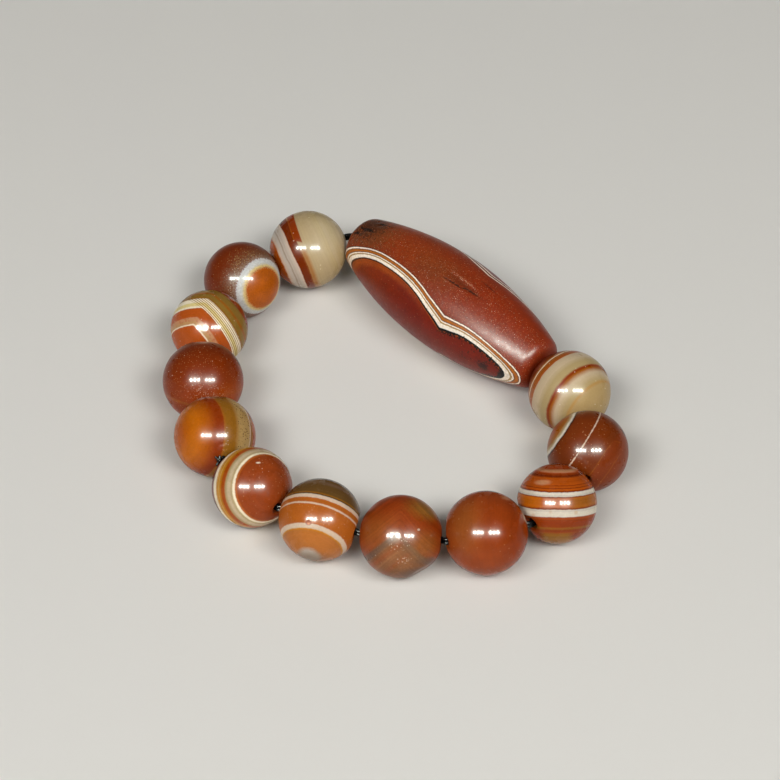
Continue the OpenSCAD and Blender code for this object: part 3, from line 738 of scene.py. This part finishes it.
def satin_agate(name):
    """Banded agate of the barrel bead, ground and hand rubbed: a satin face with fine pits, and
    layers that stand nearly upright along the bead and bend where they meet its middle."""
    material, add, point = new_material(name)
    point = add("ShaderNodeVectorMath", {0: point, "Scale": 1 / MM}, operation="SCALE")
    along = add("ShaderNodeSeparateXYZ", {0: point}, "X")

    # A curve from 0 to 1 both ways holds the bends, for all places this far along the bead
    reach, low, high = 22.0, -2.6, 0.2
    place = add("ShaderNodeMapRange", {"Value": along, "From Min": -reach, "From Max": reach})
    bend = add("ShaderNodeFloatCurve", {"Value": place})
    spots = bend.node.mapping.curves[0].points
    places = [((at + reach) / (2 * reach), (off - low) / (high - low)) for at, off in LAYER_BENDS]
    spots[0].location, spots[1].location = places[0], places[-1]
    for spot in places[1:-1]:
        spots.new(*spot)
    for spot, (_, off) in zip(spots, LAYER_BENDS):
        spot.handle_type = "AUTO" if off else "VECTOR"
    bend.node.mapping.update()
    bend = add("ShaderNodeMapRange", {"Value": bend, "To Min": low, "To Max": high})

    depth = add("ShaderNodeVectorMath", {0: point, 1: (0, 1, -LAYER_LEAN)}, 1, operation="DOT_PRODUCT")
    depth = add("ShaderNodeMath", {0: depth, 1: bend}, operation="SUBTRACT")
    rough = add("ShaderNodeTexNoise", {"Vector": point, "Scale": 2.5, "Detail": 4.0})
    rough, depth = swayed(add, rough, 0.025, depth)
    (start, start_thick), (end, end_thick) = LINES_THICK
    thick = add("ShaderNodeMapRange", {
        "Value": along, "From Min": start, "From Max": end,
        "To Min": start_thick, "To Max": end_thick,
    })
    inward = add("ShaderNodeMath", {0: depth, 1: LINES_DEPTH}, operation="SUBTRACT")
    inward = add("ShaderNodeMath", {0: inward, 1: thick}, operation="DIVIDE")
    front = layered(add, inward, -0.3, 1.7, FRONT_LAYERS)
    back = layered(add, depth, -6.5, -3.5, BACK_LAYERS)
    side = add("ShaderNodeMath", {0: depth, 1: 0.0}, operation="GREATER_THAN")
    shade = add("ShaderNodeMix", {0: side, 6: back, 7: front}, 2, data_type="RGBA")

    for mark in BARREL_MARKS:
        shade = marked(add, point, point, inward, rough, shade, mark)
    shade = clouded(add, point, depth, shade, clouds=0.10, grain=0.22, streaks=0.03, streak_scale=2.2)
    stone_skin(add, point, shade, sheen=(1.2, 6.0, 0.31, 0.45), pits=(4.0, 4.0, 0.5, 0.03),
               gloss={"Specular IOR Level": 0.17})
    return material


def elastic_rubber(name):
    """Black spun elastic cord: stretched rubber fibres that shine where they turn to the light."""
    material, add, point = new_material(name)
    fibres = add("ShaderNodeTexNoise", {"Vector": point, "Scale": 4 / MM, "Detail": 3.0})
    shade = add("ShaderNodeValToRGB", {"Fac": fibres})
    shade.node.color_ramp.elements[0].color = linear("020202")
    shade.node.color_ramp.elements[1].color = linear("0c0c0e")
    skin = add("ShaderNodeBump", {"Height": fibres, "Strength": 0.3, "Distance": 0.03 * MM})
    worn = add("ShaderNodeMapRange", {"Value": fibres, "To Min": 0.16, "To Max": 0.34})
    shader = add("ShaderNodeBsdfPrincipled", {
        "Base Color": shade, "Roughness": worn, "Normal": skin, "IOR": 1.5,
        "Specular IOR Level": 0.2,
    })
    add("ShaderNodeOutputMaterial", {"Surface": shader})
    return material


def centre_of(node):
    low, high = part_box(node)
    return (low + high) / 2


def radius_of(node):
    low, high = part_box(node)
    return (high.z - low.z) / 2


def faced(place):
    """The way a bead's own axes lie: right, up, and towards where it is looked at from."""
    towards = (VIEW_PLACE - place).normalized()
    right = (VIEW_AXES.col[0] - VIEW_AXES.col[0].dot(towards) * towards).normalized()
    return Matrix((right, towards.cross(right), towards)).transposed()


def barrel_axes():
    """The way the barrel bead's own axes lie: to its rear end, level to its outer side, and up."""
    rearward = Vector((
        math.cos(BARREL_HEADING) * math.cos(BARREL_PITCH),
        math.sin(BARREL_HEADING) * math.cos(BARREL_PITCH),
        math.sin(BARREL_PITCH),
    ))
    outward = Vector((-math.sin(BARREL_HEADING), math.cos(BARREL_HEADING), 0))
    return Matrix((rearward, outward, rearward.cross(outward))).transposed()


def string_runs():
    """The string's straight runs through the holes: the places of each hole's two mouths."""
    names = list(ROUND_BEADS)
    places = [centre_of(name) for name in names]
    middle = centre_of("barrel_bead")
    half = barrel_axes().col[0] * BARREL_LENGTH * MM / 2
    runs = []
    for k, name in enumerate(names):
        before = places[k - 1] if k else middle + half
        after = places[k + 1] if k + 1 < len(names) else middle
        reach = (after - before).normalized() * (radius_of(name) - BEAD_FLAT * MM)
        runs.append((places[k] - reach, places[k] + reach))
    return runs + [(middle - half, middle + half)]


def turned(name, outline, axis, angles):
    """A closed mesh in millimetres: an outline of places along an axis and out from it, turned
    to each of the angles."""
    mesh = bpy.data.meshes.new(name)
    form = bmesh.new()
    turn = Vector((0, 0, 1)).rotation_difference(axis)
    rings = [
        [
            form.verts.new(turn @ Vector((
                out * math.cos(angle), out * math.sin(angle), along,
            )))
            for angle in angles
        ]
        for along, out in outline
    ]
    for here, after in zip(rings, rings[1:] + rings[:1]):
        for s in range(len(angles)):
            t = (s + 1) % len(angles)
            form.faces.new((here[s], here[t], after[t], after[s]))
    bmesh.ops.recalc_face_normals(form, faces=form.faces)
    form.to_mesh(mesh)
    form.free()
    return mesh


def stepped(*parts):
    """Values from each start to just before each end, in so many even steps."""
    return [start + (end - start) * k / count for start, end, count in parts for k in range(count)]


def bored_outline(half, skin):
    """The outline of a drilled stone: along the hole, out over its mouth, and back over the skin."""
    inner = half - MOUTH_BEVEL
    hole = [(inner * k / 4, HOLE_R) for k in range(-4, 5)]
    return hole + [(half, MOUTH_R)] + skin + [(-half, MOUTH_R)]


def dented(point, spot, size, depth):
    """Presses a round hollow into a bead's skin."""
    off = (point - spot).length / size
    return point if off >= 1 else point - spot.normalized() * depth * (1 - off ** 2) ** 2


def worn_flat(point, way, level):
    """Wears the stone flat where it stands out past a level, with soft edges."""
    out = point.dot(way) - level
    return point - way * (out + math.hypot(out, FLAT_SOFT)) / 2


def add_piece(name, data, matrix, node):
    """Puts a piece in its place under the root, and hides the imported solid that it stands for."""
    piece = bpy.data.objects.new(name, data)
    bpy.context.scene.collection.objects.link(piece)
    piece.matrix_world = matrix
    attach(piece, "root")
    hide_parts(node)


def add_stone(name, mesh, material, axes, node):
    """Adds a stone whose mesh is in millimetres."""
    mesh.transform(Matrix.Scale(MM, 4))
    mesh.materials.append(material)
    mesh.shade_smooth()
    mesh.set_sharp_from_angle(angle=SHARP_EDGE)
    add_piece(name, mesh, Matrix.Translation(centre_of(node)) @ axes.to_4x4(), node)


class BRACELET_OT_round_beads(Operator):
    """Turn, drill and wear the twelve round beads, each with its own layers"""

    bl_idname = "bracelet.round_beads"
    bl_label = "Round beads"

    def execute(self, context):
        runs = string_runs()
        for k, (node, stone) in enumerate(ROUND_BEADS.items()):
            axes = faced(centre_of(node))
            axis = axes.transposed() @ (runs[k][1] - runs[k][0]).normalized()
            size = radius_of(node) / MM
            half = size - BEAD_FLAT
            rim = math.acos(half / size)
            skin = [
                (size * math.cos(a), size * math.sin(a))
                for a in (rim + (math.pi - 2 * rim) * s / BEAD_RINGS for s in range(BEAD_RINGS + 1))
            ]
            name = f"agate_bead_{k + 1:02d}"
            mesh = turned(
                name, bored_outline(half, skin), axis,
                stepped((0, 2 * math.pi, context.scene.bracelet_sizes.bead_turns)),
            )
            for vert in mesh.vertices:
                point = vert.co.copy()
                lump = noise.noise(point * 0.22 + Vector((7.0 * k, 0, 0)))
                point *= 1 - BEAD_UNEVEN * (1 + lump)
                for way, level in stone.get("flats", ()):
                    point = worn_flat(point, Vector(way).normalized(), level * size)
                for x, y, wide, deep in stone.get("pits", ()):
                    spot = Vector((x, y, math.sqrt(1 - x * x - y * y))) * size
                    point = dented(point, spot, wide, deep)
                vert.co = point
            material = polished_agate(f"tumble_polished_agate_{k + 1:02d}", radius_of(node), stone)
            add_stone(name, mesh, material, axes, node)
        return {"FINISHED"}


class BRACELET_OT_barrel_bead(Operator):
    """Turn, drill and wear the long barrel bead"""

    bl_idname = "bracelet.barrel_bead"
    bl_label = "Barrel bead"

    def execute(self, context):
        half = BARREL_LENGTH / 2
        arc_centre = BARREL_R - BARREL_SIDE_R
        rim_along = half - BARREL_RIM_R
        rim_out = arc_centre + math.sqrt((BARREL_SIDE_R - BARREL_RIM_R) ** 2 - rim_along ** 2)
        lean = math.atan2(rim_along, rim_out - arc_centre)
        rear_rim = [
            (rim_along + BARREL_RIM_R * math.cos(a), rim_out + BARREL_RIM_R * math.sin(a))
            for a in stepped((0, math.pi / 2 - lean, RIM_RINGS))
        ]
        edges = (lean, *CRACK_ALONG, -lean)
        side = [
            (BARREL_SIDE_R * math.sin(a), arc_centre + BARREL_SIDE_R * math.cos(a))
            for a in stepped(*zip(edges, edges[1:], SIDE_RINGS)) + [-lean]
        ]
        face = [(half, MOUTH_R + (rim_out - MOUTH_R) * s / 4) for s in range(1, 4)]
        skin = face + rear_rim + side + [(-along, out) for along, out in reversed(face + rear_rim)]
        start, end = CRACK_ROUND
        angles = stepped(
            (start, end, CRACK_FACETS),
            (end, start + 2 * math.pi, context.scene.bracelet_sizes.barrel_turns),
        )
        mesh = turned("barrel_bead_stone", bored_outline(half, skin), Vector((1, 0, 0)), angles)
        for vert in mesh.vertices:
            if math.hypot(vert.co.y, vert.co.z) > MOUTH_R + 0.01:
                vert.co = self.worn(vert.co.copy())
        add_stone("dzi_barrel", mesh, satin_agate("hand_rubbed_agate"), barrel_axes(),
                  "barrel_bead")
        return {"FINISHED"}

    @staticmethod
    def worn(point):
        """The place of a point of the turned face after wear: slight unevenness all over, and on
        top the chips, the almond-shaped hollow and the crack."""
        outward = Vector((0, point.y, point.z)).normalized()
        depth = BARREL_UNEVEN * (1 + noise.noise(point * 0.2))
        if point.z > 0:
            spot = point.xy
            hollow = sum(
                ((at - middle) / half) ** 2
                for at, middle, half in zip(spot, HOLLOW_PLACE, HOLLOW_SIZE)
            )
            depth += HOLLOW_DEEP * max(0, 1 - hollow) ** 1.5
            near = math.inf
            for start, end in zip(BARREL_CRACK, BARREL_CRACK[1:]):
                start, end = Vector(start), Vector(end)
                part = (spot - start).dot(end - start) / (end - start).length_squared
                near = min(near, (spot - start.lerp(end, min(max(part, 0), 1))).length)
            depth += CRACK_DEEP * max(0, 1 - (near / CRACK_WIDE) ** 2) ** 2
            ragged = 1 + 0.5 * noise.noise(point * 2.5)
            for x, y, wide, deep in BARREL_CHIPS:
                off = math.hypot(point.x - x, point.y - y) / wide
                if off < 1:
                    depth += deep * ragged * (1 - off ** 2) ** 2
        return point - outward * depth


class BRACELET_OT_elastic_cord(Operator):
    """String the stones on the doubled elastic cord and tie its knot"""

    bl_idname = "bracelet.elastic_cord"
    bl_label = "Elastic cord and knot"

    def execute(self, context):
        sizes = context.scene.bracelet_sizes
        rubber = elastic_rubber("spun_elastic_rubber")
        runs = string_runs()
        line = []
        for before, run in zip(runs[-1:] + runs[:-1], runs):
            (start, end), (mouth, far) = before, run
            turn = (end - start).normalized() - (far - mouth).normalized()
            line += [(end, 0), ((end + mouth) / 2 + turn * (mouth - end).length / 8, 0), (mouth, 0)]
        start, end = runs[-1]
        line += [(start.lerp(end, k / 8), math.pi * k / 8) for k in range(1, 8)]

        count = len(line)
        reach = (sizes.strand_d + sizes.strand_gap) / 2
        curve = self.curve("elastic_string", sizes.strand_d / 2, rubber)
        spline = curve.splines.new("BEZIER")
        spline.bezier_points.add(2 * count - 1)
        spline.use_cyclic_u = True
        for k, point in enumerate(spline.bezier_points):
            place, twist = line[k % count]
            run = line[(k + 1) % count][0] - line[(k - 1) % count][0]
            across = run.cross(Vector((0, 0, 1))).normalized()
            up = across.cross(run).normalized()
            twist += math.pi * (k // count)
            point.co = place + reach * (math.cos(twist) * up + math.sin(twist) * across)
            point.handle_left_type = point.handle_right_type = "AUTO"
        add_piece("elastic_string", curve, Matrix(), "elastic_cord")

        middle = line[3 * (KNOT_AFTER + 1) + 1][0]
        outward = Vector((math.cos(KNOT_HEADING), math.sin(KNOT_HEADING), 0))
        lump = middle + KNOT_OUT * outward + Vector((0, 0, KNOT_UP))
        curve = self.curve("elastic_knot", sizes.tail_d / 2, rubber)
        # The loop is a trefoil: it goes twice round the middle and crosses itself three times
        loop = [
            lump + KNOT_LOOP_R * MM * Vector((
                math.sin(a) + 1.1 * math.sin(2 * a), math.cos(a) - 1.1 * math.cos(2 * a),
                -1.5 * math.sin(3 * a),
            ))
            for a in stepped((0, 2 * math.pi, KNOT_LOOP_STEPS))
        ]
        self.strand(curve, loop, cyclic=True)
        for turn, rise, length in KNOT_ENDS:
            heading = KNOT_HEADING + math.radians(turn)
            way = Vector((math.cos(heading), math.sin(heading), math.tan(math.radians(rise))))
            way.normalize()
            self.strand(curve, [lump + way * length * MM * t for t in (0.2, 0.5, 0.8, 0.95, 1.0)],
                        (0.8, 0.85, 1.0, 0.9, 0.45))
        top = middle + Vector((0, 0, reach))
        for side in KNOT_LEGS:
            shift = side * MM * Vector((-outward.y, outward.x, 0))
            self.strand(curve, [lump + shift, lump.lerp(top, 0.55) + 2 * shift, top + 2 * shift],
                        (0.9, 0.7, 0.7))
        add_piece("elastic_knot", curve, Matrix(), "cord_knot")
        return {"FINISHED"}

    @staticmethod
    def curve(name, depth, material):
        curve = bpy.data.curves.new(name, "CURVE")
        curve.dimensions = "3D"
        curve.bevel_depth = depth
        curve.bevel_resolution = 4
        curve.resolution_u = 8
        curve.use_fill_caps = True
        curve.materials.append(material)
        return curve

    @staticmethod
    def strand(curve, points, radii=None, cyclic=False):
        spline = curve.splines.new("NURBS")
        spline.points.add(len(points) - 1)
        spline.order_u = 3
        spline.use_cyclic_u = cyclic
        spline.use_endpoint_u = not cyclic
        for k, point in enumerate(points):
            spline.points[k].co = (*point, 1)
            spline.points[k].radius = radii[k] if radii else 1


class BRACELET_OT_stage(Operator):
    """Lay the pale floor, and set the light and the camera"""

    bl_idname = "bracelet.stage"
    bl_label = "Stage"

    def execute(self, context):
        scene, stage = context.scene, context.scene.bracelet_stage
        # Uncoated pressed card: an even pale colour with hardly any sheen
        material, add, point = new_material("pale_pressed_card")
        haze = add("ShaderNodeTexNoise", {"Vector": point, "Scale": 6.0, "Detail": 2.0})
        worn = add("ShaderNodeMapRange", {"Value": haze, "To Min": 0.75, "To Max": 0.85})
        shader = add("ShaderNodeBsdfPrincipled", {
            "Base Color": tuple(stage.floor_colour), "Roughness": worn, "IOR": 1.5,
            "Specular IOR Level": 0.04,
        })
        add("ShaderNodeOutputMaterial", {"Surface": shader})
        mesh = bpy.data.meshes.new("floor")
        form = bmesh.new()
        bmesh.ops.create_circle(form, cap_ends=True, radius=FLOOR_R, segments=96)
        form.to_mesh(mesh)
        form.free()
        mesh.materials.append(material)
        floor = bpy.data.objects.new("floor", mesh)
        scene.collection.objects.link(floor)

        world = bpy.data.worlds.new("soft_surroundings")
        world.use_nodes = True
        light = world.node_tree.nodes["Background"]
        light.inputs["Color"].default_value = tuple(stage.air_colour)
        light.inputs["Strength"].default_value = stage.air_strength
        scene.world = world

        # Two softboxes beside the camera, each with a row of three bulbs that show as glints
        for side, name in ((-1, "left"), (1, "right")):
            softbox = self.lamp(f"softbox_{name}", side * SOFTBOX_ASIDE, SOFTBOX_ABOVE,
                                SOFTBOX_SIZE, stage.lamp_watts, stage)
            softbox.visible_glossy = False
            for k, aside in enumerate(BULBS_ASIDE):
                bulb = self.lamp(f"bulb_{name}_{k + 1}", side * aside, BULBS_ABOVE, BULB_SIZE,
                                 stage.bulb_watts, stage)
                bulb.visible_diffuse = False
                bulb.data.color = stage.bulb_colour[:3]

        camera = bpy.data.cameras.new("camera")
        camera.lens = VIEW_LENS
        camera.sensor_width = VIEW_FILM
        camera.clip_start = 0.01
        view = bpy.data.objects.new("camera", camera)
        view.matrix_world = Matrix.Translation(VIEW_PLACE) @ VIEW_AXES.to_4x4()
        scene.collection.objects.link(view)
        scene.camera = view
        scene.view_settings.view_transform = "Standard"
        return {"FINISHED"}

    @staticmethod
    def lamp(name, aside, above, size, watts, stage):
        """A flat lamp that faces the bracelet, so many degrees beside and above the camera."""
        aside, above = math.radians(aside), math.radians(above)
        way = VIEW_AXES @ Vector((
            math.sin(aside) * math.cos(above), math.sin(above), math.cos(aside) * math.cos(above),
        ))
        light = bpy.data.lights.new(name, "AREA")
        light.shape = "RECTANGLE"
        light.size, light.size_y = size
        light.energy = watts
        lamp = bpy.data.objects.new(name, light)
        lamp.location = VIEW_TARGET + way * stage.lamp_distance
        lamp.rotation_euler = way.to_track_quat("Z", "Y").to_euler()
        bpy.context.scene.collection.objects.link(lamp)
        return lamp


STEPS = (
    BRACELET_OT_round_beads, BRACELET_OT_barrel_bead, BRACELET_OT_elastic_cord, BRACELET_OT_stage,
)


class BRACELET_PT_panel(Panel):
    """Lists the steps that make the bracelet, with its sizes and colours"""

    bl_idname = "BRACELET_PT_panel"
    bl_label = "Agate bead bracelet"
    bl_space_type = "VIEW_3D"
    bl_region_type = "UI"
    bl_category = "Bracelet"

    def draw(self, context):
        for step in STEPS:
            self.layout.operator(step.bl_idname)
        for group in (context.scene.bracelet_sizes, context.scene.bracelet_stage,
                      context.scene.agate_colours):
            for name in group.__annotations__:
                self.layout.prop(group, name)


CLASSES = (AgateColours, BraceletSizes, StageSettings, *STEPS, BRACELET_PT_panel)


def register():
    for kind in CLASSES:
        bpy.utils.register_class(kind)
    bpy.types.Scene.agate_colours = PointerProperty(type=AgateColours)
    bpy.types.Scene.bracelet_sizes = PointerProperty(type=BraceletSizes)
    bpy.types.Scene.bracelet_stage = PointerProperty(type=StageSettings)


def unregister():
    del bpy.types.Scene.bracelet_stage
    del bpy.types.Scene.bracelet_sizes
    del bpy.types.Scene.agate_colours
    for kind in reversed(CLASSES):
        bpy.utils.unregister_class(kind)


def main():
    register()
    bpy.ops.bracelet.round_beads()
    bpy.ops.bracelet.barrel_bead()
    bpy.ops.bracelet.elastic_cord()
    bpy.ops.bracelet.stage()


if __name__ == "__main__":
    main()
